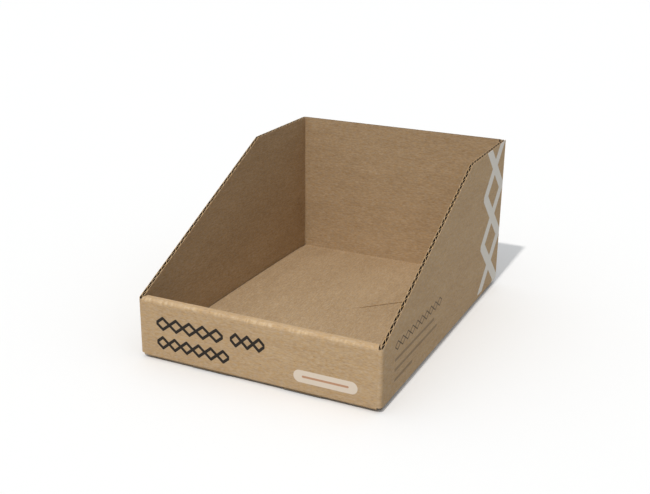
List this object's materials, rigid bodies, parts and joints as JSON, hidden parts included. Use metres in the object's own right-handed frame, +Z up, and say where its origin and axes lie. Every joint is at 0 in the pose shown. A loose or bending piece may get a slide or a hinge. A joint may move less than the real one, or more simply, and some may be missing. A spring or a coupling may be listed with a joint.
{
  "type": "folding display box",
  "caption": "Counter display box folded from corrugated board, with sloping side walls, a rolled front lip held by tabs and an auto-lock base.",
  "frame": {"origin": "on the surface the box stands on, under the middle of the box", "axes": "+X to the right seen from the front, +Y from the low front lip to the back wall, +Z up"},
  "size_m": [0.19, 0.265, 0.1283],
  "materials": {
    "board": "matt brown kraft corrugated board"
  },
  "bodies": {
    "root": {"display_box": "board"}
  },
  "joints": []
}
